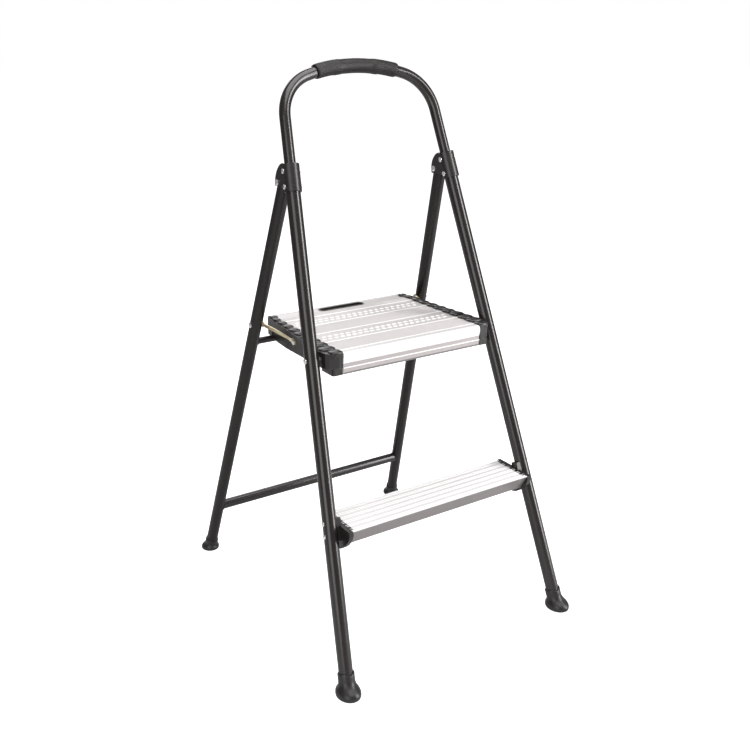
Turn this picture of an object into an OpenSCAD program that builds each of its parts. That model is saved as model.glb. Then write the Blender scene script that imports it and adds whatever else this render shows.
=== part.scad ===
// Folding two-step stool with a tall hoop handle.
// Two tubular frames hinge together under the handle. A ribbed aluminium platform turns on the
// front legs, and a strap on each side ties it to the rear legs, so that it lifts as the stool folds.
// Millimetres, +Z up, front towards -Y, feet on z = 0, drawn open.

/* [Front frame] */
// Half the distance between the front leg axes at the floor
base_half = 240; // [200:1:280]
// Backward lean of the front legs, degrees
front_tilt = 19.25; // [10:0.25:25]
// Inward lean of every leg within its own frame, degrees
splay = 4.88; // [0:0.01:8]
// Outside diameter of the front leg tubes
front_d = 25; // [20:0.5:32]
// Wall of all the tubes
wall = 1.2; // [0.8:0.1:2]
// Height of the front leg tubes, measured up the frame
leg_top_s = 897; // [850:1:940]

/* [Rear frame] */
// Forward lean of the rear legs, degrees
rear_tilt = 18.15; // [10:0.05:25]
// Outside diameter of the rear leg tubes
rear_d = 23; // [18:0.5:30]
// Height of the rear crossbar above the floor
crossbar_z = 115; // [80:1:200]
// Diameter of the rear crossbar
crossbar_d = 20; // [16:0.5:25]
// Diameter of the bar that carries the back of the platform
bar_d = 12.5; // [10:0.5:16]
// Distance of that bar from the hinge
bar_r = 326; // [300:1:350]

/* [Handle] */
// Outside diameter of the handle tube
hoop_d = 19.6; // [16:0.1:25]
// Height of the handle's top, measured up the frame
hoop_top_s = 1063.6; // [1000:0.1:1100]
// Bend radius of the two handle corners
corner_r = 80; // [50:1:120]
// Radius of the handle's long top bow
bow_r = 341; // [250:1:500]
// Outside diameter of the hand grip
grip_d = 26; // [22:0.5:34]
// Half the angle that the grip covers on the bow, degrees
grip_half = 14.2; // [8:0.1:20]

/* [Hinge brackets] */
// Height of the frame hinge, measured up the front frame
hinge_s = 876.5; // [850:0.5:890]
// Distance of the hinge behind the front leg axis
hinge_n = 26; // [25.5:0.1:30]
// Half width of a bracket
bracket_half = 15.2; // [14:0.1:18]
// Half width of the slot that the rear leg turns in
cheek_half = 12.3; // [12:0.1:14]

/* [Platform] */
// Height of the platform's top
deck_top = 551; // [500:1:600]
// Depth of the platform's sides
deck_depth = 39; // [30:1:50]
// Half width of the aluminium planks
plank_half = 147; // [120:1:160]
// Height of the platform pivots, measured up the front frame
pivot_s = 569; // [540:1:600]
// Half length of the hand slot
slot_half = 51; // [40:1:60]
// Width of the hand slot with its rim
slot_w = 20; // [16:1:26]

/* [Lower step] */
// Height of the lower step's top
step_top = 272.2; // [240:0.1:300]
// Half length of the lower step
step_half = 193; // [180:1:200]

/* [Feet] */
// Half the length of the front feet's oval soles
front_sole = 25; // [18:0.5:28]
// Half the width of the front feet's oval soles
front_sole_x = 19.5; // [16:0.5:24]
// Radius of the rear feet on the floor
rear_sole = 18; // [15:0.5:24]

/* [Hidden] */
$fn = 64;
gap = 0.05;
far = 400;
front_r = front_d / 2;
rear_r = rear_d / 2;
hoop_r = hoop_d / 2;
lean = tan(splay);

// Hinge position in the row frame's side view, and the rear legs' length from it.
hinge_y = hinge_s * sin(front_tilt) + hinge_n * cos(front_tilt);
hinge_z = hinge_s * cos(front_tilt) - hinge_n * sin(front_tilt);
hinge_x = base_half - hinge_s * lean;
hinge_rise = hinge_z / cos(rear_tilt);
base_depth = hinge_y + hinge_rise * sin(rear_tilt);
rear_half = hinge_x + hinge_rise * lean;
front_y = -(base_depth + rear_sole - front_sole) / 2;
rear_y = front_y + base_depth;

// Platform pivots, in the same view.
pivot_y = front_y + pivot_s * sin(front_tilt);
pivot_z = pivot_s * cos(front_tilt);

// Strap pivots: one on the platform, one on the rear legs.
eye_u = 116.53;
eye_v = -3;
strap_r = 288;
strap_s = hinge_rise - strap_r;
strap_end_y = rear_y - strap_s * sin(rear_tilt);
strap_end_z = strap_s * cos(rear_tilt);
eye_y = pivot_y + eye_u;
eye_z = pivot_z + eye_v;
strap_len = norm([strap_end_y - eye_y, strap_end_z - eye_z]);
strap_angle = atan2(strap_end_z - eye_z, strap_end_y - eye_y);
strap_t = 2.2;
strap_x = 162.2;
strap_step = 12;

// Platform outline, u measured rearward from the pivots.
deck_front = pivot_y - 31.6;
deck_back = pivot_y + 239.4;
deck_floor = deck_top - deck_depth;
rail_out = 177.2;
rail_web_out = 161.5;
flange_z = deck_top - 8;
saddle_z = (rear_y - (hinge_rise - bar_r) * sin(rear_tilt));
bar_z = (hinge_rise - bar_r) * cos(rear_tilt);
plank_pitch = 50;
plank_gap = 0.3;
ridge_front = pivot_y - 16.6;
skin = 2;

// Rivets and pins.
pin_r = 4;
stud_r = 3.2;
rivet_r = 2.5;

// ---- frames of reference ----

// Front frame: x across, y square to the frame and rearward, z up the frame.
module front_plane() {
    translate([0, front_y, 0])
        rotate([-front_tilt, 0, 0])
            children();
}

// One front leg: z runs up its axis from the floor. side is -1 for left, 1 for right.
module along_front(side) {
    front_plane()
        translate([side * base_half, 0, 0])
            rotate([0, -side * splay, 0])
                children();
}

module rear_plane() {
    translate([0, rear_y, 0])
        rotate([rear_tilt, 0, 0])
            children();
}

module along_rear(side) {
    rear_plane()
        translate([side * rear_half, 0, 0])
            rotate([0, -side * splay, 0])
                children();
}

// Mirrors a right-hand piece to the left.
module on_side(side) {
    if (side > 0) {
        children();
    } else {
        mirror([1, 0, 0])
            children();
    }
}

// ---- shared shapes ----

module tube(length, outer, bore) {
    difference() {
        cylinder(h = length, r = outer);
        translate([0, 0, -1])
            cylinder(h = length + 2, r = bore);
    }
}

// A round bar along +X, from x0 to x1.
module bar_x(x0, x1, r) {
    translate([x0, 0, 0])
        rotate([0, 90, 0])
            cylinder(h = x1 - x0, r = r);
}

// A low domed head whose flat side faces -X.
module head(r, h) {
    rotate([0, 90, 0])
        union() {
            cylinder(h = h * 0.45, r = r);
            translate([0, 0, h * 0.45])
                cylinder(h = h * 0.55, r1 = r, r2 = r * 0.55);
        }
}

// ---- front frame ----

module front_leg(side) {
    color([0.11, 0.1, 0.1])
        difference() {
            along_front(side)
                translate([0, 0, 8])
                    tube(leg_top_s / cos(splay) - 8, front_r, front_r - wall);
            front_plane()
                translate([0, 0, pivot_s])
                    bar_x(-far, far, pin_r + gap);
            along_front(side)
                rivet_rows(rivet_r + gap);
            along_front(side)
                step_rows(3 + gap);
        }
}

// Places of the two cross rivets of a bracket and of the two that hold the lower step.
module rivet_rows(r) {
    for (s = [862, 888.4])
        translate([0, 0, s / cos(splay)])
            bar_x(-40, 40, r);
}

module step_rows(r) {
    for (s = [271, 293])
        translate([0, 0, s / cos(splay)])
            bar_x(-40, 40, r);
}

// Handle bow: straight ends inside the legs, two corner bends and the long top bow.
bow_c = hoop_top_s - bow_r;
corner_d = bow_r - corner_r;
inset_a = base_half - corner_r / cos(splay);
half_b = inset_a * lean + bow_c;
root_b = sqrt(half_b * half_b - (1 + lean * lean) * (inset_a * inset_a + bow_c * bow_c - corner_d * corner_d));
corner_s = (half_b + root_b) / (1 + lean * lean);
corner_x = inset_a - lean * corner_s;
corner_end = atan2(corner_s - bow_c, corner_x);
hoop_start = 850;
straight_end = corner_s + corner_r * sin(splay);

// Sweeps a ring of two radii along an arc in the front frame's own plane.
module arc_tube(x, s, bend, from, to, outer, bore) {
    translate([x, 0, s])
        rotate([90, 0, 0])
            rotate([0, 0, from])
                rotate_extrude(angle = to - from, $fn = 128)
                    translate([bend, 0])
                        difference() {
                            circle(r = outer);
                            circle(r = bore);
                        }
}

// Butt joint between two bends, as an angle.
butt = 0.02;

module corner_bend() {
    arc_tube(corner_x, corner_s, corner_r, splay + butt, corner_end - butt, hoop_r, hoop_r - wall);
}

module handle_hoop() {
    color([0.11, 0.1, 0.1])
        front_plane() {
            corner_bend();
            mirror([1, 0, 0])
                corner_bend();
            arc_tube(0, bow_c, bow_r, corner_end, 180 - corner_end, hoop_r, hoop_r - wall);
        }
    color([0.11, 0.1, 0.1])
        for (side = [-1, 1])
            along_front(side)
                difference() {
                    translate([0, 0, hoop_start / cos(splay)])
                        tube((straight_end - hoop_start) / cos(splay), hoop_r, hoop_r - wall);
                    rivet_rows(rivet_r + gap);
                }
}

module hoop_bushing(side) {
    color([0.08, 0.08, 0.08])
        along_front(side)
            difference() {
                translate([0, 0, 854 / cos(splay)])
                    tube(42, front_r - wall - gap, hoop_r + gap);
                rivet_rows(rivet_r + gap);
            }
}

module handle_grip() {
    color([0.13, 0.13, 0.13])
        front_plane() {
            arc_tube(0, bow_c, bow_r, 90 - grip_half + 0.8, 90 + grip_half - 0.8, grip_d / 2, hoop_r + gap);
            grip_ring(90 - grip_half);
            grip_ring(90 + grip_half - 0.8 + butt);
        }
}

// The slightly wider ring at each end of the grip.
module grip_ring(from) {
    arc_tube(0, bow_c, bow_r, from, from + 0.8 - butt, grip_d / 2 + 0.7, hoop_r + gap);
}

// Moulded bracket: a sleeve on the front leg with two round cheeks that hold the rear leg.
module bracket(side) {
    color([0.14, 0.14, 0.14])
        difference() {
            along_front(side)
                union() {
                    translate([0, 0, 853 / cos(splay)])
                        cylinder(h = 47, r = bracket_half);
                    intersection() {
                        translate([0, 0, 867 / cos(splay)])
                            bar_x(-bracket_half, bracket_half, 36);
                        translate([-20, 0, 859.5 / cos(splay)])
                            rotate([19.5, 0, 0])
                                cube([40, 60, 80]);
                        translate([-20, 0, 800])
                            cube([40, 60, 902 / cos(splay) - 800]);
                    }
                }
            along_front(side)
                translate([0, 0, 800])
                    cylinder(h = 120, r = front_r + gap);
            along_front(side)
                translate([-cheek_half, 14.3, 800])
                    cube([2 * cheek_half, 60, hinge_s / cos(splay) - 800]);
            front_plane()
                translate([side * hinge_x, hinge_n, hinge_s])
                    intersection() {
                        bar_x(-30, 30, 13.4);
                        rotate([0, -side * splay, 0])
                            translate([-cheek_half, -30, -30])
                                cube([2 * cheek_half, 60, 60]);
                    }
            front_plane()
                translate([0, hinge_n, hinge_s])
                    bar_x(-far, far, pin_r + gap);
            along_front(side)
                rivet_rows(rivet_r + gap);
        }
}

// Cross rivets of both brackets, a domed head at each end.
module bracket_rivets() {
    color([0.8, 0.79, 0.77])
        for (side = [-1, 1])
            along_front(side)
                for (s = [862, 888.4])
                    translate([0, 0, s / cos(splay)])
                        union() {
                            bar_x(-bracket_half - 0.5, bracket_half + 0.5, rivet_r);
                            translate([bracket_half + gap, 0, 0])
                                head(4.4, 2);
                            mirror([1, 0, 0])
                                translate([bracket_half + gap, 0, 0])
                                    head(4.4, 2);
                        }
}

module hinge_rivet(side) {
    reach = bracket_half / cos(splay) + 5.4 * lean + gap;
    color([0.8, 0.79, 0.77])
        front_plane()
            translate([side * hinge_x, hinge_n, hinge_s])
                union() {
                    bar_x(-reach - 0.5, reach + 0.5, pin_r);
                    translate([reach, 0, 0])
                        head(5.4, 2);
                    mirror([1, 0, 0])
                        translate([reach, 0, 0])
                            head(5.4, 2);
                }
}

// Shouldered rivet that the platform turns on: head outside the leg, tail inside the rail.
module platform_rivet(side) {
    leg_x = base_half - pivot_s * lean;
    reach = leg_x + front_r / cos(splay) + 5 * lean + gap;
    color([0.8, 0.79, 0.77])
        on_side(side)
            front_plane()
                translate([0, 0, pivot_s])
                    union() {
                        bar_x(151, reach + 0.5, pin_r);
                        translate([reach, 0, 0])
                            head(5, 1.8);
                    }
}

// ---- lower step ----

step_front = front_y + 55.6;
step_depth = 84.7;
step_rib_h = 0.7;

// Section of the tread: thin top, slanted front fascia and a short rear web.
module tread_section() {
    top = step_top - step_rib_h;
    back = step_front + step_depth;
    polygon([
        [step_front, top], [step_front + 17.4, top - 30.4], [step_front + 19.2, top - 29.4],
        [step_front + 3.4, top - skin], [back - skin, top - skin], [back - skin, top - 26],
        [back, top - 26], [back, top]
    ]);
    for (i = [0:5])
        for (k = [0, 4.6])
            translate([step_front + 5 + i * 14.2 + k, top - 0.5])
                square([1.6, 0.5 + step_rib_h]);
    translate([step_front, top - 0.5])
        square([2.2, 0.5 + step_rib_h]);
    translate([back - 2.2, top - 0.5])
        square([2.2, 0.5 + step_rib_h]);
}

module lower_tread() {
    color([0.86, 0.85, 0.84])
        translate([-step_half, 0, 0])
            rotate([90, 0, 90])
                linear_extrude(2 * step_half)
                    tread_section();
}

// D-shaped end cap of the step, with an ear that is riveted to the leg.
module step_cap(side) {
    cap_w = 8;
    low = step_top - 47;
    color([0.13, 0.13, 0.13])
        difference() {
            on_side(side)
                union() {
                    translate([step_half + gap, 0, 0])
                        rotate([90, 0, 90])
                            linear_extrude(cap_w - gap)
                                polygon([
                                    [step_front - 0.8, step_top], [step_front - 1.2, step_top - 8],
                                    [step_front + 0.8, step_top - 15], [step_front + 5, step_top - 22],
                                    [step_front + 11.5, step_top - 30], [step_front + 19.5, step_top - 37.5],
                                    [step_front + 28, step_top - 43.5], [step_front + 37, low],
                                    [step_front + 46, low - 1], [step_front + 58, low + 2],
                                    [step_front + 72, low + 10], [step_front + 82, low + 20],
                                    [step_front + 87, low + 32], [step_front + 88, step_top]
                                ]);
                    intersection() {
                        front_plane()
                            translate([step_half + 4, -8, 260])
                                cube([24, 16, 39]);
                        along_front(1)
                            translate([-40, -20, 200])
                                cube([40, 40, 200]);
                    }
                }
            along_front(side)
                translate([0, 0, 150])
                    cylinder(h = 250, r = front_r + gap);
            along_front(side)
                step_rows(3 + gap);
        }
}

module step_rivets() {
    color([0.8, 0.79, 0.77])
        for (side = [-1, 1])
            along_front(side)
                on_side(side)
                    for (s = [271, 293])
                        translate([0, 0, s / cos(splay)])
                            union() {
                                bar_x(-16, front_r + 0.5, 3);
                                translate([front_r + gap, 0, 0])
                                    head(4.4, 1.6);
                            }
}

// ---- feet ----

// Rubber boot: a flared sole standing on the floor. A collar up the leg is added to it.
module boot(sole, sole_h, neck, flare_top) {
    rotate_extrude($fn = 64)
        polygon([
            [0, 0], [sole - 1.6, 0], [sole, 2.2], [sole, sole_h], [sole - 1.4, sole_h + 2.2],
            [(sole + neck) / 2, flare_top - 5], [neck, flare_top], [0, flare_top]
        ]);
}

// Sole of a front boot, long from front to rear, with a flare towards the leg.
module oval_sole() {
    linear_extrude(8)
        rotate([0, 0, 90])
            oval(front_sole, 2 * front_sole_x);
    translate([0, 0, 7])
        cylinder(h = 13, r1 = front_sole_x - 0.8, r2 = 15.6);
}

module front_foot(side) {
    color([0.09, 0.09, 0.09])
        difference() {
            union() {
                translate([side * base_half, front_y, 0])
                    oval_sole();
                along_front(side)
                    translate([0, 0, 9])
                        cylinder(h = 29, r = front_r + 2.9);
            }
            along_front(side)
                translate([0, 0, 8 - gap])
                    cylinder(h = 60, r = front_r + gap);
        }
}

module rear_foot(side) {
    color([0.09, 0.09, 0.09])
        difference() {
            union() {
                translate([side * rear_half, rear_y, 0])
                    boot(rear_sole, 5, 14.2, 15);
                along_rear(side)
                    translate([0, 0, 9])
                        cylinder(h = 17, r = rear_r + 2.3);
            }
            along_rear(side)
                translate([0, 0, 8 - gap])
                    cylinder(h = 60, r = rear_r + gap);
        }
}

// ---- rear frame ----

// The leg's top is rounded about the hinge, so that it clears the front leg as it turns.
module rear_leg(side) {
    color([0.11, 0.1, 0.1])
        difference() {
            intersection() {
                along_rear(side)
                    translate([0, 0, 8])
                        tube(hinge_rise / cos(splay) + 20 - 8, rear_r, rear_r - wall);
                rear_plane()
                    union() {
                        translate([0, 0, hinge_rise])
                            bar_x(-far, far, 12.9);
                        translate([-far, -60, -20])
                            cube([2 * far, 120, hinge_rise + 20]);
                    }
            }
            rear_plane()
                translate([0, 0, hinge_rise])
                    bar_x(-far, far, pin_r + gap);
            along_rear(side)
                translate([0, 0, strap_s / cos(splay)])
                    bar_x(-40, 40, 3.5 + gap);
        }
}

// A tube across the rear frame, its ends shaped to the legs.
module cross_tube(s, d, thick) {
    rear_plane()
        translate([0, 0, s])
            difference() {
                bar_x(-rear_half, rear_half, d / 2);
                bar_x(-rear_half - 1, rear_half + 1, d / 2 - thick);
            }
}

module leg_cutters() {
    for (side = [-1, 1])
        along_rear(side)
            cylinder(h = 900, r = rear_r + 0.02);
    for (side = [-1, 1])
        along_rear(side)
            translate([side > 0 ? 0 : -80, -40, 0])
                cube([80, 80, 900]);
}

module rear_crossbar() {
    color([0.11, 0.1, 0.1])
        difference() {
            cross_tube(crossbar_z / cos(rear_tilt), crossbar_d, wall);
            leg_cutters();
        }
}

module support_bar() {
    color([0.11, 0.1, 0.1])
        difference() {
            cross_tube(hinge_rise - bar_r, bar_d, wall);
            leg_cutters();
        }
}

// Rivet that ties the strap to the rear leg. It ends inside the leg's inner wall.
module link_rivet(side) {
    color([0.8, 0.79, 0.77])
        along_rear(side)
            on_side(side)
                translate([0, 0, strap_s / cos(splay)])
                    union() {
                        bar_x(-rear_r + 0.7, rear_r + 0.5, 3.5);
                        translate([rear_r + gap, 0, 0])
                            head(5, 1.8);
                    }
}

// ---- platform ----

// Open-bottomed plank section: ribbed skin, two webs and a raised bead on its front edge.
module plank_section(y0, y1, ribs) {
    top = deck_top - 0.9;
    low = deck_top - 24;
    translate([y0, top - skin])
        square([y1 - y0, skin]);
    translate([y0, low])
        square([skin, top - low]);
    translate([y1 - skin, low])
        square([skin, top - low]);
    translate([y0, top - 0.5])
        square([4.4, 1.4]);
    translate([(y0 + y1) / 2 - 0.8, low + 6])
        square([1.6, top - low - 6]);
    for (i = [1:1:ribs])
        translate([y0 + 3 + i * (y1 - y0 - 4) / (ribs + 1), top - 0.5])
            square([1.3, 1.1]);
}

module plank(index, width, ribs) {
    y0 = ridge_front + index * plank_pitch;
    color([0.86, 0.85, 0.84])
        translate([-plank_half, 0, 0])
            rotate([90, 0, 90])
                linear_extrude(2 * plank_half)
                    plank_section(y0, y0 + width - plank_gap, ribs);
}

module oval(half, w) {
    for (side = [-1, 1])
        translate([side * (half - w / 2), 0])
            circle(d = w);
    square([2 * half - w, w], center = true);
}

slot_y = deck_back - 18.6;

module plank_rear() {
    y0 = ridge_front + 4 * plank_pitch;
    top = deck_top - 0.9;
    low = deck_top - 24;
    color([0.86, 0.85, 0.84])
        difference() {
            translate([-plank_half, 0, 0])
                rotate([90, 0, 90])
                    linear_extrude(2 * plank_half)
                        union() {
                            translate([y0, top - skin])
                                square([deck_back - y0, skin]);
                            translate([y0, low])
                                square([skin, top - low]);
                            translate([deck_back - skin, deck_floor + 7])
                                square([skin, top - deck_floor - 7]);
                            translate([y0, top - 0.5])
                                square([4.4, 1.4]);
                            translate([deck_back - 3.4, top - 0.5])
                                square([3.4, 1.4]);
                            for (i = [1:6])
                                translate([y0 + 3 + i * 3.3, top - 0.5])
                                    square([1.2, 0.9]);
                        }
            translate([0, slot_y, deck_top - 20])
                linear_extrude(30)
                    oval(slot_half - 1, slot_w - 2);
        }
}

// Oval plastic liner of the hand slot, with a thin rim on top of the plank.
module slot_insert() {
    color([0.08, 0.08, 0.08])
        translate([0, slot_y, 0])
            difference() {
                union() {
                    translate([0, 0, deck_top - 14])
                        linear_extrude(14)
                            oval(slot_half - 1 - gap, slot_w - 2 - 2 * gap);
                    translate([0, 0, deck_top - 0.9 + gap])
                        linear_extrude(0.85)
                            oval(slot_half, slot_w);
                }
                translate([0, 0, deck_top - 20])
                    linear_extrude(30)
                        oval(slot_half - 3, slot_w - 6);
            }
}

// Front moulding of the platform: rounded nose, a flat band, a thin ledge and a lower band.
module deck_nose() {
    f = deck_front;
    t = deck_top;
    color([0.88, 0.87, 0.86])
        translate([-plank_half, 0, 0])
            rotate([90, 0, 90])
                linear_extrude(2 * plank_half)
                    polygon([
                        [ridge_front - plank_gap, t], [f + 5, t], [f + 2.4, t - 0.9], [f + 0.8, t - 2.8],
                        [f + 0.1, t - 6], [f, t - 11], [f + 0.7, t - 16], [f + 2, t - 19],
                        [f + 2, t - 26.4], [f + 0.4, t - 26.8], [f + 0.4, t - 28.2],
                        [f + 2, t - 28.6], [f + 2.6, deck_floor], [f + 4.4, deck_floor],
                        [f + 4.2, t - 5], [f + 6, t - skin], [ridge_front - plank_gap, t - skin]
                    ]);
}

// Side rail: a flange on top that follows the splay of the front leg, a web below it,
// a deep front corner block in two steps and a ledge that the planks rest on.
module rail(side) {
    seam_z = deck_top - 27;
    u_out = rail_out;
    u_back = rail_out - (deck_back - pivot_y) * lean;
    inner = plank_half + gap;
    bead = plank_pitch / 2;
    color([0.14, 0.14, 0.14])
        on_side(side)
            difference() {
                union() {
                    translate([0, 0, flange_z])
                        linear_extrude(8)
                            difference() {
                                polygon([
                                    [inner, deck_front], [u_out - 22, deck_front], [u_out - 13.6, deck_front + 1.7],
                                    [u_out - 6.4, deck_front + 6.4], [u_out - 1.7, deck_front + 13.6],
                                    [u_out, deck_front + 22], [u_out, pivot_y],
                                    [u_back + 1, deck_back - 10], [u_back - 2, deck_back - 3],
                                    [u_back - 5, deck_back], [inner, deck_back]
                                ]);
                                for (i = [0:10])
                                    translate([inner - 11.2, deck_front + 12 + i * bead])
                                        circle(r = 12.5);
                            }
                    translate([0, 0, deck_floor])
                        linear_extrude(flange_z - deck_floor + 1)
                            polygon([
                                [inner + 1.6, deck_front + 3], [rail_web_out, deck_front + 3],
                                [rail_web_out, pivot_y + 150], [u_back - 2.6, deck_back - 2],
                                [inner + 1.6, deck_back - 2]
                            ]);
                    translate([inner - 9, deck_front + 8, deck_top - 29])
                        cube([12, deck_back - deck_front - 12, 4.9]);
                    intersection() {
                        union() {
                            translate([0, 0, seam_z])
                                linear_extrude(flange_z - seam_z + 1)
                                    polygon([
                                        [inner, deck_front + 1], [u_out - 22, deck_front + 1],
                                        [u_out - 13.6, deck_front + 2.7], [u_out - 6.4, deck_front + 7.4],
                                        [u_out - 2, deck_front + 14], [u_out - 0.4, deck_front + 22],
                                        [u_out - 0.4, pivot_y], [u_out - 1.2, pivot_y + 8], [inner, pivot_y + 8]
                                    ]);
                            translate([0, 0, deck_floor])
                                linear_extrude(seam_z - deck_floor + 1)
                                    polygon([
                                        [inner, deck_front + 1.8], [u_out - 13, deck_front + 1.8],
                                        [u_out - 10.6, deck_front + 2.8], [u_out - 9.6, deck_front + 5.2],
                                        [u_out - 9.6, pivot_y + 8], [inner, pivot_y + 8]
                                    ]);
                        }
                        translate([inner + 1.6, deck_front, deck_floor])
                            cube([60, 60, deck_depth]);
                    }
                    translate([0, pivot_y, pivot_z])
                        bar_x(rail_web_out - 2, u_out - 1, 11.5);
                }
                translate([0, pivot_y, pivot_z])
                    bar_x(0, far, pin_r + gap);
                translate([0, eye_y, eye_z])
                    bar_x(0, far, stud_r + gap);
                translate([0, saddle_z - 14, deck_floor - 1])
                    cube([far, 60, bar_z + bar_d / 2 + 0.5 - deck_floor + 1]);
                translate([inner + 7, deck_front + 48, deck_floor - 1])
                    cube([3.4, deck_back - deck_front - 70, 22]);
            }
}

// Shouldered bolt that holds the strap's front eye beside the rail.
module link_bolt(side) {
    color([0.8, 0.79, 0.77])
        on_side(side)
            translate([0, eye_y, eye_z])
                union() {
                    bar_x(151, strap_x + strap_t + 1, stud_r);
                    translate([strap_x + strap_t + 0.3, 0, 0])
                        head(5, 1.8);
                }
}

// ---- straps ----

// Cranked strap, in its own frame: y from the platform end to the leg end, z its height.
module strap_place(side) {
    on_side(side)
        translate([0, eye_y, eye_z])
            rotate([strap_angle, 0, 0])
                children();
}

module link(side) {
    color([0.83, 0.7, 0.42])
        strap_place(side)
            difference() {
                intersection() {
                    rotate([90, 0, 90])
                        linear_extrude(far)
                            union() {
                                circle(r = 6.4);
                                translate([strap_len, 0])
                                    circle(r = 6.4);
                                translate([0, -3.2])
                                    square([strap_len, 6.4]);
                            }
                    translate([0, 0, -10])
                        linear_extrude(20)
                            polygon([
                                [strap_x, -10], [strap_x + strap_t, -10], [strap_x + strap_t, 22],
                                [strap_x + strap_t + strap_step, 88],
                                [strap_x + strap_t + strap_step, strap_len + 10],
                                [strap_x + strap_step, strap_len + 10], [strap_x + strap_step, 88],
                                [strap_x, 22]
                            ]);
                }
                bar_x(0, far, stud_r + gap);
                translate([0, strap_len, 0])
                    bar_x(0, far, 3 + gap);
            }
}

// Stud riveted in the strap's rear eye. It ends just short of the rear leg.
module link_stud(side) {
    inner = strap_x + strap_step;
    color([0.8, 0.79, 0.77])
        strap_place(side)
            translate([0, strap_len, 0])
                union() {
                    bar_x(inner - 1, inner + strap_t + 1.2, 3);
                    mirror([1, 0, 0])
                        translate([-inner + gap, 0, 0])
                            head(5.4, 2);
                }
}

front_leg(-1);  // front_leg_left
front_leg(1);  // front_leg_right
handle_hoop();
hoop_bushing(-1);  // hoop_bushing_left
hoop_bushing(1);  // hoop_bushing_right
handle_grip();
bracket(-1);  // bracket_left
bracket(1);  // bracket_right
bracket_rivets();
hinge_rivet(-1);  // hinge_rivet_left
hinge_rivet(1);  // hinge_rivet_right
lower_tread();
step_cap(-1);  // step_cap_left
step_cap(1);  // step_cap_right
step_rivets();
front_foot(-1);  // front_foot_left
front_foot(1);  // front_foot_right
platform_rivet(-1);  // platform_rivet_left
platform_rivet(1);  // platform_rivet_right
rear_leg(-1);  // rear_leg_left
rear_leg(1);  // rear_leg_right
rear_crossbar();
support_bar();
rear_foot(-1);  // rear_foot_left
rear_foot(1);  // rear_foot_right
link_rivet(-1);  // link_rivet_left
link_rivet(1);  // link_rivet_right
plank_rear();
plank(3, plank_pitch, 0);  // plank_bump_rear
plank(2, plank_pitch, 8);  // plank_centre
plank(1, plank_pitch, 0);  // plank_bump_front
plank(0, plank_pitch, 8);  // plank_front
deck_nose();
rail(-1);  // rail_left
rail(1);  // rail_right
slot_insert();
link_bolt(-1);  // link_bolt_left
link_bolt(1);  // link_bolt_right
link(-1);  // link_left
link_stud(-1);  // link_stud_left
link(1);  // link_right
link_stud(1);  // link_stud_right
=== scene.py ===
"""Step stool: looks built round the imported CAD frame. Metres, +Z up, climber's side towards -Y."""
import math
import random

import bpy
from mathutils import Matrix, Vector


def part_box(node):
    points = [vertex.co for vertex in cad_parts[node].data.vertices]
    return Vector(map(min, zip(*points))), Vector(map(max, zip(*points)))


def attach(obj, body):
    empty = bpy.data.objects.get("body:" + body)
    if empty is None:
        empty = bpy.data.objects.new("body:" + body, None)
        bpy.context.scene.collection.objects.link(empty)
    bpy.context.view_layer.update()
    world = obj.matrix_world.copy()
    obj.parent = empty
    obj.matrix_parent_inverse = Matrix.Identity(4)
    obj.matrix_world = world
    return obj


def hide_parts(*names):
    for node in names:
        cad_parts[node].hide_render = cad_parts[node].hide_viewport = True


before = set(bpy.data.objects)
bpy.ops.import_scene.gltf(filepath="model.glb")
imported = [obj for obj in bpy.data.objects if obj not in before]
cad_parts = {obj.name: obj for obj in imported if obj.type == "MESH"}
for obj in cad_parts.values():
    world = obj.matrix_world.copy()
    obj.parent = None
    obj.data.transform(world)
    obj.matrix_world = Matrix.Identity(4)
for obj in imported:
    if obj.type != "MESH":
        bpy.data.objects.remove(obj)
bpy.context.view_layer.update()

MM = 0.001
SIDES = ((-1, "left"), (1, "right"))
ACROSS, BACK, UP = Vector((1, 0, 0)), Vector((0, 1, 0)), Vector((0, 0, 1))

# ---- the frame's own numbers, as in the CAD source ----

FRONT_TILT = math.radians(19.25)
REAR_TILT = math.radians(18.15)
SPLAY = math.radians(4.88)
FRONT_HALF = 240 * MM
REAR_HALF = 238.745 * MM
FRONT_Y = -287.488 * MM
REAR_Y = 294.488 * MM
REAR_LEG_R = 11.5 * MM
CROSSBAR_RISE, CROSSBAR_R = 115 * MM / math.cos(REAR_TILT), 10 * MM
SUPPORT_RISE, SUPPORT_R = 535.802 * MM, 6.25 * MM
BOW_C = 722.6 * MM
BOW_R = 341 * MM
HOOP_R = 9.8 * MM
PIVOT = Vector((0, -99.894, 537.187)) * MM
DECK_TOP = 551 * MM
DECK_FRONT = PIVOT.y - 31.6 * MM
RAIL_INNER = 147.2 * MM
RAIL_OUTER = 177.2 * MM
STRAP_FROM = Vector((162.2 + 1.1, 16.636, 534.187)) * MM
STRAP_ANGLE = math.radians(6.3704)


def in_front(x, n, s):
    """A point of the front frame's leaning plane: across, square to it, up it."""
    c, k = math.cos(FRONT_TILT), math.sin(FRONT_TILT)
    return Vector((x, FRONT_Y + s * k + n * c, s * c - n * k))


def leg_axis(front, side, length):
    """A point on a leg's axis, this far up from the floor."""
    rise, half = length * math.cos(SPLAY), FRONT_HALF if front else REAR_HALF
    x = side * (half - length * math.sin(SPLAY))
    if front:
        return in_front(x, 0, rise)
    return Vector((x, REAR_Y - rise * math.sin(REAR_TILT), rise * math.cos(REAR_TILT)))


# ---- materials ----


def node_of(tree, kind, x, y, **values):
    """A new shader node. Each value goes to the property or the input of that name."""
    node = tree.nodes.new(kind)
    node.location = (x, y)
    for key, value in values.items():
        if hasattr(node, key):
            setattr(node, key, value)
        else:
            node.inputs[key.replace("_", " ")].default_value = value
    return node


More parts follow.
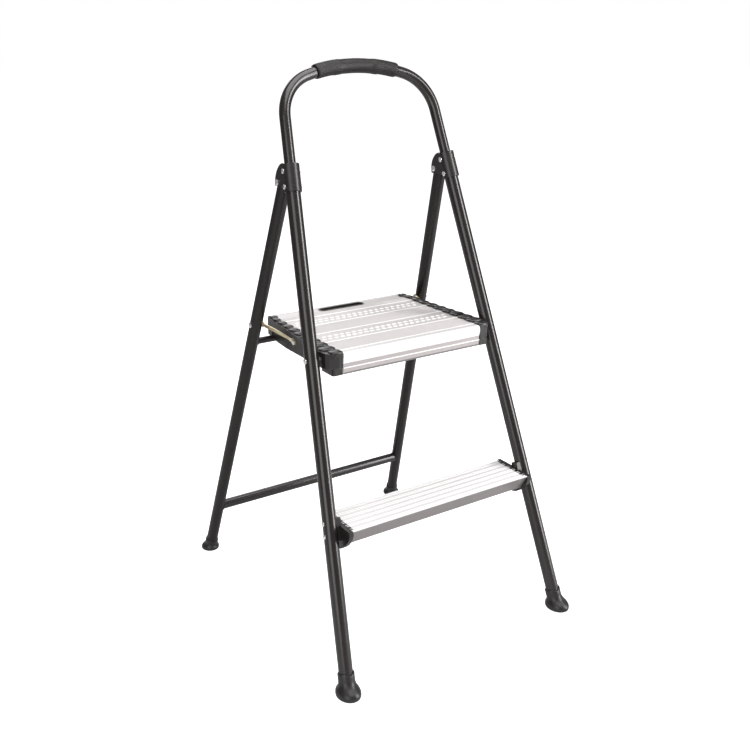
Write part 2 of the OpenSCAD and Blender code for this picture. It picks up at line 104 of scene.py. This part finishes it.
def blend_of(tree, source, low, high):
    """A blend of two colours: the first where the source is under 0.3, the second where it is over 0.7."""
    ramp = node_of(tree, "ShaderNodeValToRGB", -300, 0)
    for stop, position, colour in zip(ramp.color_ramp.elements, (0.3, 0.7), (low, high)):
        stop.position = position
        stop.color = (*colour, 1)
    tree.links.new(source, ramp.inputs["Fac"])
    return ramp.outputs["Color"]


def painted_shade_by_height(tree, where, colour, shade_bands):
    """Paints shade into a colour: multiplies it by steps of painted shade and light by the piece's height.
    The bands are (share of the piece's height, shade tint).
    """
    height = node_of(tree, "ShaderNodeSeparateXYZ", -1100, 500)
    tree.links.new(where.outputs["Generated"], height.inputs[0])
    steps = node_of(tree, "ShaderNodeValToRGB", -800, 500)
    steps.color_ramp.interpolation = "CONSTANT"
    while len(steps.color_ramp.elements) < len(shade_bands):
        steps.color_ramp.elements.new(0.5)
    for stop, (share, shade_tint) in zip(steps.color_ramp.elements, shade_bands):
        stop.position = share
        stop.color = (*shade_tint, 1)
    tree.links.new(height.outputs["Z"], steps.inputs["Fac"])
    both = node_of(tree, "ShaderNodeMix", -50, 300, data_type="RGBA", blend_type="MULTIPLY")
    both.inputs["Factor"].default_value = 1
    tree.links.new(colour, both.inputs["A"])
    tree.links.new(steps.outputs["Color"], both.inputs["B"])
    return both.outputs["Result"]


def surface(name, low, high, rough, metal=0.0, specular=0.5, stretch=(1, 1, 1), fine=(1, 1, 1),
            mottle=30, grain=400, bump=0.05, depth=0.0002, shade_bands=None):
    """A procedural finish: a slow colour drift, and a fine grain in roughness and bump; with shade bands
    given, painted shade and light by height.
    """
    material = bpy.data.materials.new(name)
    material.use_nodes = True
    tree = material.node_tree
    tree.nodes.clear()
    out = node_of(tree, "ShaderNodeOutputMaterial", 400, 0)
    bsdf = node_of(tree, "ShaderNodeBsdfPrincipled", 100, 0, Metallic=metal, Specular_IOR_Level=specular)
    where = node_of(tree, "ShaderNodeTexCoord", -1300, 0)
    noises = []
    for y, scale, noise_scale, detail in ((200, stretch, mottle, 3.0), (-200, fine, grain, 2.0)):
        mapping = node_of(tree, "ShaderNodeMapping", -1100, y, Scale=scale)
        noise = node_of(tree, "ShaderNodeTexNoise", -800, y, Scale=noise_scale, Detail=detail)
        tree.links.new(where.outputs["Object"], mapping.inputs["Vector"])
        tree.links.new(mapping.outputs["Vector"], noise.inputs["Vector"])
        noises.append(noise.outputs["Fac"])
    drift, grit = noises
    colour = blend_of(tree, drift, low, high)
    if shade_bands:
        colour = painted_shade_by_height(tree, where, colour, shade_bands)
    spread = node_of(tree, "ShaderNodeMapRange", -300, -200, To_Min=rough[0], To_Max=rough[1])
    relief = node_of(tree, "ShaderNodeBump", -300, -500, Strength=bump, Distance=depth)
    tree.links.new(grit, spread.inputs["Value"])
    tree.links.new(grit, relief.inputs["Height"])
    tree.links.new(colour, bsdf.inputs["Base Color"])
    tree.links.new(spread.outputs["Result"], bsdf.inputs["Roughness"])
    tree.links.new(relief.outputs["Normal"], bsdf.inputs["Normal"])
    tree.links.new(bsdf.outputs["BSDF"], out.inputs["Surface"])
    return material


PAINTED = dict(grain=60, bump=0.02, depth=0.00001, mottle=12)
EXTRUDED = dict(stretch=(0.6, 60, 60), grain=900, bump=0.06, depth=0.00005, mottle=3)
DRAWN_OUT = (0.02, 1, 1)
FULL = (1, 1, 1)

PAINT = surface("gloss_black_paint", (0.0125, 0.0098, 0.0088), (0.0155, 0.0123, 0.0112), (0.22, 0.25),
                specular=0.6, **PAINTED)
REAR_PAINT = surface("satin_black_paint", (0.0105, 0.0085, 0.0078), (0.0135, 0.0112, 0.0102), (0.30, 0.36),
                     specular=0.35, **PAINTED)
PLASTIC = surface("moulded_black", (0.012, 0.0102, 0.0095), (0.017, 0.0145, 0.0137), (0.28, 0.38),
                  grain=1400, bump=0.1, depth=0.00006, mottle=25, specular=0.55)
GRIP = surface("grip_black", (0.0095, 0.0082, 0.0078), (0.014, 0.0122, 0.0115), (0.36, 0.46),
               grain=1600, bump=0.12, depth=0.00008, mottle=30, specular=0.3)
RUBBER = surface("foot_rubber", (0.012, 0.0105, 0.0105), (0.019, 0.0168, 0.0168), (0.3, 0.42),
                 grain=700, bump=0.12, depth=0.0001, mottle=20, specular=0.45)
# Painted shade by height: the plank's sides and the skin between its ribs darker, the rib tops lighter and
# the bead tops white.
DECK = surface("extruded_aluminium", (0.92, 0.905, 0.90), (0.97, 0.96, 0.955), (0.3, 0.42), metal=0.2,
               fine=DRAWN_OUT, **EXTRUDED,
               shade_bands=((0, (0.5, 0.48, 0.48)), (0.93, (0.57, 0.552, 0.55)), (0.974, (0.68, 0.662, 0.66)),
                      (0.993, FULL)))
STUDS = surface("pressed_studs", (0.80, 0.785, 0.78), (0.90, 0.885, 0.88), (0.3, 0.42), metal=0.2, **EXTRUDED)
# Painted light and shade by height: the nose darkest at its foot, grey lower bands with a thin lit stripe,
# its upper part painted white as if lit, and a little darker at the very top.
NOSE = surface("nose_aluminium", (0.90, 0.89, 0.885), (0.94, 0.935, 0.93), (0.26, 0.38), metal=0.15,
               fine=DRAWN_OUT, **EXTRUDED,
               shade_bands=((0, (0.18, 0.168, 0.168)), (0.08, (0.48, 0.447, 0.445)), (0.268, (0.95, 0.94, 0.94)),
                      (0.318, (0.42, 0.39, 0.39)), (0.5, FULL), (0.99, (0.66, 0.64, 0.64))))
# Painted shade by height: the tread's front and sides painted dark grey as if shaded, its top lighter and the
# rib tops white.
STEP = surface("bright_aluminium", (0.90, 0.89, 0.885), (0.94, 0.935, 0.93), (0.28, 0.4), metal=0.15,
               fine=DRAWN_OUT, **EXTRUDED,
               shade_bands=((0, (0.25, 0.232, 0.23)), (0.9, (0.27, 0.252, 0.25)), (0.955, (0.75, 0.735, 0.735)),
                      (0.985, FULL)))
ZINC = surface("yellow_zinc", (0.80, 0.68, 0.42), (0.90, 0.82, 0.60), (0.24, 0.36), metal=0.75,
               grain=700, bump=0.08, depth=0.0001, mottle=60)
RIVET = surface("plated_rivet", (0.80, 0.79, 0.77), (0.90, 0.89, 0.87), (0.18, 0.3), metal=0.8,
                grain=900, bump=0.06, depth=0.0001, mottle=80)


def cad_material(name):
    """The finish of a CAD node, by what its name says it is."""
    if any(word in name for word in ("rivet", "bolt", "stud")):
        return RIVET
    if name.startswith("link"):
        return ZINC
    if "foot" in name:
        return RUBBER
    if name.startswith("plank"):
        return DECK
    if name.startswith("rear_leg"):
        return REAR_PAINT
    if name.startswith("front_leg"):
        return PAINT
    single = {"deck_nose": NOSE, "lower_tread": STEP, "support_bar": REAR_PAINT, "handle_hoop": PAINT,
              "rear_crossbar": PAINT, "handle_grip": GRIP}
    return single.get(name, PLASTIC)


def paint_cad_nodes():
    for name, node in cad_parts.items():
        node.data.materials.clear()
        node.data.materials.append(cad_material(name))


# ---- mesh helpers ----


def piece(name, mesh, material, body, bevel=0.0):
    """A new smooth-shaded mesh piece that rides on a CAD body."""
    data = bpy.data.meshes.new(name)
    data.from_pydata([tuple(v) for v in mesh[0]], [], mesh[1])
    data.update()
    data.materials.append(material)
    for polygon in data.polygons:
        polygon.use_smooth = True
    ob = bpy.data.objects.new(name, data)
    bpy.context.scene.collection.objects.link(ob)
    if bevel:
        edges = ob.modifiers.new("edges", "BEVEL")
        edges.width = bevel
        edges.segments = 3
        edges.limit_method = "ANGLE"
        edges.angle_limit = math.radians(40)
        shading = ob.modifiers.new("shading", "WEIGHTED_NORMAL")
        shading.keep_sharp = True
    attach(ob, body)
    return ob


def turn(count):
    """Equally spaced angles of one full turn."""
    return [2 * math.pi * j / count for j in range(count)]


def circle(centre, e1, e2, radius, count):
    """A ring of points round a centre, in the plane of e1 and e2."""
    return [centre + (e1 * math.cos(a) + e2 * math.sin(a)) * radius for a in turn(count)]


def loop_mesh(rings, wrap=False):
    """Faces between rings of equal length. The ends are capped, or joined to each other by wrap."""
    n, count = len(rings[0]), len(rings)
    verts = [point for ring in rings for point in ring]
    faces = []
    for i in range(count if wrap else count - 1):
        a, b = i * n, ((i + 1) % count) * n
        for j in range(n):
            k = (j + 1) % n
            faces.append((a + j, a + k, b + k, b + j))
    if not wrap:
        faces.append(tuple(range(n - 1, -1, -1)))
        faces.append(tuple((count - 1) * n + j for j in range(n)))
    return verts, faces


def add_mesh(mesh, more):
    """Adds a second mesh's vertices and faces to the first's."""
    start = len(mesh[0])
    mesh[0].extend(more[0])
    mesh[1].extend(tuple(start + corner for corner in face) for face in more[1])


# ---- handle grip: fluted ends, a plain middle and slimmer ends below ----

GRIP_HALF_ANGLE = math.radians(14.1)
GRIP_BORE = HOOP_R + 0.1 * MM
FLUTES = 30


def soft_step(distance, rate):
    """0 well below zero, 1 well above it."""
    return 1 / (1 + math.exp(-distance * rate))


def grip_frame(u):
    """A point on the bow's axis and the way out of the bend, from u = -1 at the left to 1 at the right."""
    phi = math.pi / 2 - u * GRIP_HALF_ANGLE
    out = in_front(math.cos(phi), 0, math.sin(phi)) - in_front(0, 0, 0)
    return in_front(0, 0, BOW_C) + out * BOW_R, out


def grip_radius(u, a):
    """The sleeve's outer radius at u along it and at angle a from the way out."""
    end = min(1.0, (1 - abs(u)) / 0.035)
    slim = soft_step(abs(u) - 0.56, 60)
    plain = soft_step(0.40 - abs(u), 50)
    below = max(0.0, -math.cos(a)) ** 2
    flute = abs(math.sin(a * FLUTES / 2)) * (1 - plain) * (0.3 + 0.7 * end)
    return (12.2 + 0.55 * end ** 0.5 + 0.5 * flute - 1.1 * below * slim - 0.35 * plain * (1 - below)) * MM


def make_grip():
    """The sleeve's outside from left to right, and its bore back again."""
    around, along, bore_along = 120, 96, 24
    side = in_front(0, 1, 0) - in_front(0, 0, 0)
    rings = []
    for i in range(along + 1):
        u = -1 + 2 * i / along
        mid, out = grip_frame(u)
        rings.append([mid + (out * math.cos(a) + side * math.sin(a)) * grip_radius(u, a)
                      for a in turn(around)])
    for i in range(bore_along + 1):
        mid, out = grip_frame(1 - 2 * i / bore_along)
        rings.append(circle(mid, out, side, GRIP_BORE, around))
    sleeve = piece("grip_sleeve", loop_mesh(rings, wrap=True), GRIP, "front_frame")
    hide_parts("handle_grip")


# ---- rubber feet: an oval sole that flows up into a collar round the leg ----

# Rows are (height in mm, share of the sole's width, blend towards the leg's own direction).
FRONT_FOOT = dict(
    sole_x=21.2 * MM, sole_y=24.9 * MM, reach=1.6 * MM, collar=14.8 * MM, bore=12.53 * MM, top=36.5 * MM,
    dip=4.5 * MM,
    rows=((0, 0.70, 0), (0.2, 0.80, 0), (1.2, 0.93, 0), (3.4, 0.99, 0), (6.5, 1.0, 0.01), (9.5, 0.96, 0.05),
          (12.5, 0.83, 0.18), (15.5, 0.58, 0.42), (18.5, 0.30, 0.70), (21.5, 0.10, 0.90), (24, 0.02, 0.98),
          (27, 0, 1)))
REAR_FOOT = dict(
    sole_x=18.6 * MM, sole_y=17.95 * MM, reach=2.8 * MM, collar=13.3 * MM, bore=11.53 * MM, top=25 * MM,
    dip=1.5 * MM,
    rows=((0, 0.7, 0), (0.2, 0.82, 0), (1.0, 0.95, 0), (2.6, 1.0, 0), (5.5, 1.0, 0.02), (8, 0.9, 0.12),
          (10.5, 0.64, 0.38), (13, 0.3, 0.72), (15.5, 0.06, 0.95), (18, 0, 1)))


def front_dip(a, depth):
    """How far the collar's rim drops at its front, where it faces the climber."""
    off = math.atan2(math.sin(a + math.pi / 2), math.cos(a + math.pi / 2))
    return -depth * math.exp(-(off / 0.55) ** 2)


def make_foot(front, side, word):
    """One boot. Its sole reaches a little further towards the climber than the oval itself."""
    around = 72
    kind = "front" if front else "rear"
    size = FRONT_FOOT if front else REAR_FOOT
    collar, bore, top = size["collar"], size["bore"], size["top"]
    base = leg_axis(front, side, 0)
    up = (leg_axis(front, side, 1) - base).normalized()
    e1 = (ACROSS - up * ACROSS.dot(up)).normalized()
    e2 = up.cross(e1)

    def on_collar(a, height, radius, lift=0.0):
        return base + up * (height / up.z + lift) + (e1 * math.cos(a) + e2 * math.sin(a)) * radius

    def on_sole(a, height, share, lean):
        rx = size["sole_x"] * share + collar * (1 - share)
        ry = size["sole_y"] * share + collar * (1 - share)
        shift = up * (height / up.z) * lean
        ahead = size["reach"] * share * min(0.0, math.sin(a))
        x, y = base.x + shift.x + rx * math.cos(a), base.y + shift.y + ry * math.sin(a) + ahead
        return Vector((x, y, height)).lerp(on_collar(a, height, collar), lean)

    rings = []
    for height, share, lean in size["rows"]:
        rings.append([on_sole(a, height * MM, share, lean) for a in turn(around)])
    rim = ((1.2, collar), (0.3, collar - 0.3 * MM), (0, collar - 1.0 * MM), (0, bore + 0.2 * MM), (1.5, bore))
    for drop, radius in rim:
        rings.append([on_collar(a, top - drop * MM, radius, front_dip(a, size["dip"])) for a in turn(around)])
    rings.append([on_collar(a, 9 * MM, bore) for a in turn(around)])
    boot = piece(kind + "_boot_" + word, loop_mesh(rings), RUBBER, kind + "_frame")
    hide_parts(kind + "_foot_" + word)


# ---- platform: pads along the rails, lips at the front corners, studs on two planks ----

PAD_COUNT = 11
PAD_PITCH = 25 * MM
PAD_FIRST = 11.5 * MM
PAD_SQUARE = 0.6
PAD_LEAN = 0.10


def rail_edge(y):
    """The rail's outer edge at this depth: it follows the splay of the front leg."""
    return RAIL_OUTER - max(0.0, y - PIVOT.y) * math.tan(SPLAY)


def lump(centre, half, around=28, up=14):
    """A rounded block with softened corners, a little higher at its front."""

    def soft(v):
        return math.copysign(abs(v) ** PAD_SQUARE, v)

    rings = []
    for i in range(1, up):
        b = -math.pi / 2 + math.pi * i / up
        ring = []
        for a in turn(around):
            x, y = soft(math.cos(b)) * soft(math.cos(a)), soft(math.cos(b)) * soft(math.sin(a))
            ring.append(centre + Vector((half.x * x, half.y * y,
                                         half.z * soft(math.sin(b)) - PAD_LEAN * half.y * y)))
        rings.append(ring)
    return loop_mesh(rings)


def make_rail_pads(side, word):
    """Rounded cross pads along the rail's top."""
    mesh = ([], [])
    for i in range(PAD_COUNT):
        y = DECK_FRONT + PAD_FIRST + PAD_PITCH * i
        half_y, past_inner, short_of_edge = 11.9 * MM, 2.2 * MM, 0.8 * MM
        if i == 0:
            y += 0.5 * MM
            short_of_edge += 7 * MM
        elif i == PAD_COUNT - 1:
            y -= 6.5 * MM
            half_y, past_inner = 7.5 * MM, 7 * MM
        inner, outer = RAIL_INNER - past_inner, rail_edge(y) - short_of_edge
        centre = Vector((side * (inner + outer) / 2, y, DECK_TOP - 3.0 * MM))
        add_mesh(mesh, lump(centre, Vector(((outer - inner) / 2, half_y, 6.6 * MM))))
    piece("rail_pads_" + word, mesh, PLASTIC, "platform")


def make_corner_lip(side, word):
    """The small rounded lip at the seam of a front corner block: along its front and round its corner."""
    start, mid_x, mid_u, radius_x, radius_u, end = 147.6, 155.6, 23, 21, 21.4, 31
    bend = [math.radians(90 * i / 8) for i in range(9)]
    path = [(start, mid_u - radius_u)]
    path += [(mid_x + radius_x * math.sin(a), mid_u - radius_u * math.cos(a)) for a in bend]
    path += [(mid_x + radius_x, end)]
    points = [Vector((side * x * MM, DECK_FRONT + u * MM, DECK_TOP - 26.6 * MM)) for x, u in path]
    rings = []
    for i, point in enumerate(points):
        ahead = (points[min(i + 1, len(points) - 1)] - points[max(i - 1, 0)]).normalized()
        out = Vector((ahead.y, -ahead.x, 0)) * side
        rings.append(circle(point, out, UP, 0.9 * MM, 12))
    piece("corner_lip_" + word, loop_mesh(rings), PLASTIC, "platform")


STUD_COUNT = 22
STUD_START = -136 * MM
STUD_PITCH = 12.6 * MM
STUD_ROW = 6.5 * MM
STUD_PROFILE = ((4.4, -0.1), (4.2, 0.35), (3.3, 0.95), (1.8, 1.3), (0.5, 1.4))


def make_studs():
    """Low raised oval studs, two staggered rows on each studded plank."""
    rnd = random.Random(4)
    mesh = ([], [])
    for plank in ("plank_bump_front", "plank_bump_rear"):
        low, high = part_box(plank)
        middle = (low[1] + high[1]) / 2 + 1 * MM
        for stagger, row in ((0, -STUD_ROW), (STUD_PITCH / 2, STUD_ROW)):
            for i in range(STUD_COUNT):
                grow = 1 + 0.03 * rnd.uniform(-1, 1)
                foot = Vector((STUD_START + STUD_PITCH * i + stagger, middle + row, DECK_TOP - 0.9 * MM))
                rings = [circle(foot + UP * height * MM, ACROSS * 1.15 * grow, BACK * 0.62, radius * MM, 16)
                         for radius, height in STUD_PROFILE]
                add_mesh(mesh, loop_mesh(rings))
    piece("deck_studs", mesh, STUDS, "platform")


# ---- straps: rolled edges along the cranked steel ----


def make_strap_edges(side, word):
    """Two rounded edges, which follow the strap's crank. Stations are (mm along, mm outwards)."""
    stations = ((8, 0), (22, 0), (88, 12), (93, 12))
    c, k = math.cos(STRAP_ANGLE), math.sin(STRAP_ANGLE)
    along, across = Vector((0, c, k)), Vector((0, -k, c))
    start = Vector((side * STRAP_FROM.x, STRAP_FROM.y, STRAP_FROM.z))
    mesh = ([], [])
    for height in (2.2, -2.2):
        rings = []
        for run, outwards in stations:
            centre = start + (along * run + across * height + ACROSS * side * outwards) * MM
            rings.append(circle(centre, ACROSS * side * 1.6, across * 1.2, MM, 20))
        add_mesh(mesh, loop_mesh(rings))
    piece("strap_edges_" + word, mesh, ZINC, "strap_" + word)


# ---- weld beads where the cross tubes meet the rear legs ----


def make_welds():
    """A slightly uneven bead round each end of the two cross tubes."""
    rnd = random.Random(9)
    steps = 48
    square = Vector((0, math.cos(REAR_TILT), math.sin(REAR_TILT)))
    uphill = Vector((0, -math.sin(REAR_TILT), math.cos(REAR_TILT)))
    mesh = ([], [])
    for rise, tube_r in ((CROSSBAR_RISE, CROSSBAR_R), (SUPPORT_RISE, SUPPORT_R)):
        for side, word in SIDES:
            axis = leg_axis(False, side, rise / math.cos(SPLAY))
            rings = []
            for i, a in enumerate(turn(steps)):
                y, z = tube_r * math.cos(a), tube_r * math.sin(a)
                inset = math.sqrt(REAR_LEG_R ** 2 - y * y) + 0.2 * MM + z * math.tan(SPLAY)
                off_axis = square * y + uphill * z
                thick = (1.5 + 0.18 * math.sin(i * 2.1) + 0.1 * rnd.uniform(-1, 1)) * MM
                centre = axis + off_axis - ACROSS * side * inset
                rings.append(circle(centre, ACROSS * -side, off_axis.normalized(), thick, 10))
            add_mesh(mesh, loop_mesh(rings, wrap=True))
    piece("weld_beads", mesh, REAR_PAINT, "rear_frame")


# ---- lower step: teeth of the end caps between the tread's ribs ----

RIB_PITCH = 14.2 * MM
BOX_FACES = ((0, 1, 2, 3), (7, 6, 5, 4), (0, 4, 5, 1), (1, 5, 6, 2), (2, 6, 7, 3), (3, 7, 4, 0))


def make_step_teeth(side, word):
    """A narrow and a wide tooth in each gap between the ribs, as far as the tread's rear edge."""
    low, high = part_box("lower_tread")
    x_in, x_out = high[0] - 4.6 * MM, high[0] + 1.0 * MM
    z_low, z_top = high[2] - 0.75 * MM, high[2] + 0.5 * MM
    faces = BOX_FACES if side < 0 else [face[::-1] for face in BOX_FACES]
    mesh = ([], [])
    for i in range(6):
        rib = low[1] + 5 * MM + i * RIB_PITCH
        for near, far in ((rib + 1.8 * MM, rib + 4.4 * MM), (rib + 6.5 * MM, rib + 13.9 * MM)):
            if far <= high[1] - 2 * MM:
                corners = [(side * x, y, z) for y in (near, far)
                           for x, z in ((x_in, z_low), (x_out, z_low), (x_out, z_top), (x_in, z_top))]
                add_mesh(mesh, (corners, faces))
    piece("step_teeth_" + word, mesh, PLASTIC, "front_frame", bevel=0.25 * MM)


# ---- studio ----


def make_floor():
    """A wide floor that shows pale to the camera's own rays, whatever light falls on it."""
    half, drop = 30, 0.4 * MM
    data = bpy.data.meshes.new("floor")
    corners = [(-half, -half, 0), (half, -half, 0), (half, half, 0), (-half, half, 0)]
    data.from_pydata(corners, [], [(0, 1, 2, 3)])
    floor = bpy.data.objects.new("floor", data)
    floor.location.z = -drop
    bpy.context.scene.collection.objects.link(floor)
    pale = bpy.data.materials.new("pale_floor")
    pale.use_nodes = True
    tree = pale.node_tree
    bsdf = tree.nodes["Principled BSDF"]
    bsdf.inputs["Base Color"].default_value = (0.62, 0.62, 0.62, 1)
    bsdf.inputs["Roughness"].default_value = 0.9
    bsdf.inputs["Emission Color"].default_value = (1, 1, 1, 1)
    ray = node_of(tree, "ShaderNodeLightPath", -600, -300)
    glow = node_of(tree, "ShaderNodeMapRange", -300, -300, To_Min=0.0, To_Max=0.95)
    tree.links.new(ray.outputs["Is Camera Ray"], glow.inputs["Value"])
    tree.links.new(glow.outputs["Result"], bsdf.inputs["Emission Strength"])
    data.materials.append(pale)


def make_softbox(name, azimuth, distance, height, width, tall, power):
    """A rectangular light seen from the object at this azimuth, turned to face its middle."""
    a = math.radians(azimuth)
    data = bpy.data.lights.new(name, "AREA")
    data.shape = "RECTANGLE"
    data.size, data.size_y, data.energy = width, tall, power
    light = bpy.data.objects.new(name, data)
    bpy.context.scene.collection.objects.link(light)
    light.location = (distance * math.sin(a), -distance * math.cos(a), height)
    light.rotation_euler = (light.location - Vector((0, 0, 0.5))).to_track_quat("Z", "Y").to_euler()


def make_world():
    """A white background for the camera, which lights the object only dimly."""
    world = bpy.data.worlds.new("studio")
    bpy.context.scene.world = world
    world.use_nodes = True
    tree = world.node_tree
    tree.nodes.clear()
    out = node_of(tree, "ShaderNodeOutputWorld", 400, 0)
    mix = node_of(tree, "ShaderNodeMixShader", 200, 0)
    ray = node_of(tree, "ShaderNodeLightPath", -100, 300)
    tree.links.new(ray.outputs["Is Camera Ray"], mix.inputs["Fac"])
    white = (1, 1, 1, 1)
    for socket, strength in ((1, 0.2), (2, 1.0)):
        shade = node_of(tree, "ShaderNodeBackground", -100, -200 * socket, Color=white, Strength=strength)
        tree.links.new(shade.outputs["Background"], mix.inputs[socket])
    tree.links.new(mix.outputs["Shader"], out.inputs["Surface"])


def make_camera():
    """In front of the stool, to the climber's left and level with the handle's top."""
    look_down, look_right = 19.91, 33.01
    data = bpy.data.cameras.new("camera")
    data.lens = 44.47
    data.sensor_width = 36
    data.clip_end = 100
    camera = bpy.data.objects.new("camera", data)
    camera.location = (-0.9082, -1.3997, 1.0474)
    camera.rotation_euler = (math.radians(90 - look_down), 0, math.radians(-look_right))
    bpy.context.scene.collection.objects.link(camera)
    bpy.context.scene.camera = camera


paint_cad_nodes()
make_grip()
for side, word in SIDES:
    make_foot(True, side, word)
    make_foot(False, side, word)
for side, word in SIDES:
    make_rail_pads(side, word)
for side, word in SIDES:
    make_corner_lip(side, word)
make_studs()
for side, word in SIDES:
    make_strap_edges(side, word)
make_welds()
for side, word in SIDES:
    make_step_teeth(side, word)

make_floor()
make_softbox("strip_left", -55, 3.2, 1.3, 1.9, 2.6, 40)
make_softbox("strip_right", 44, 3.2, 1.3, 0.85, 2.6, 96)
make_softbox("overhead", 10, 0.6, 3.4, 3.0, 3.0, 114)
make_softbox("behind", 168, 3.4, 2.3, 2.2, 1.6, 32)
make_world()
bpy.context.scene.view_settings.view_transform = "Standard"
make_camera()
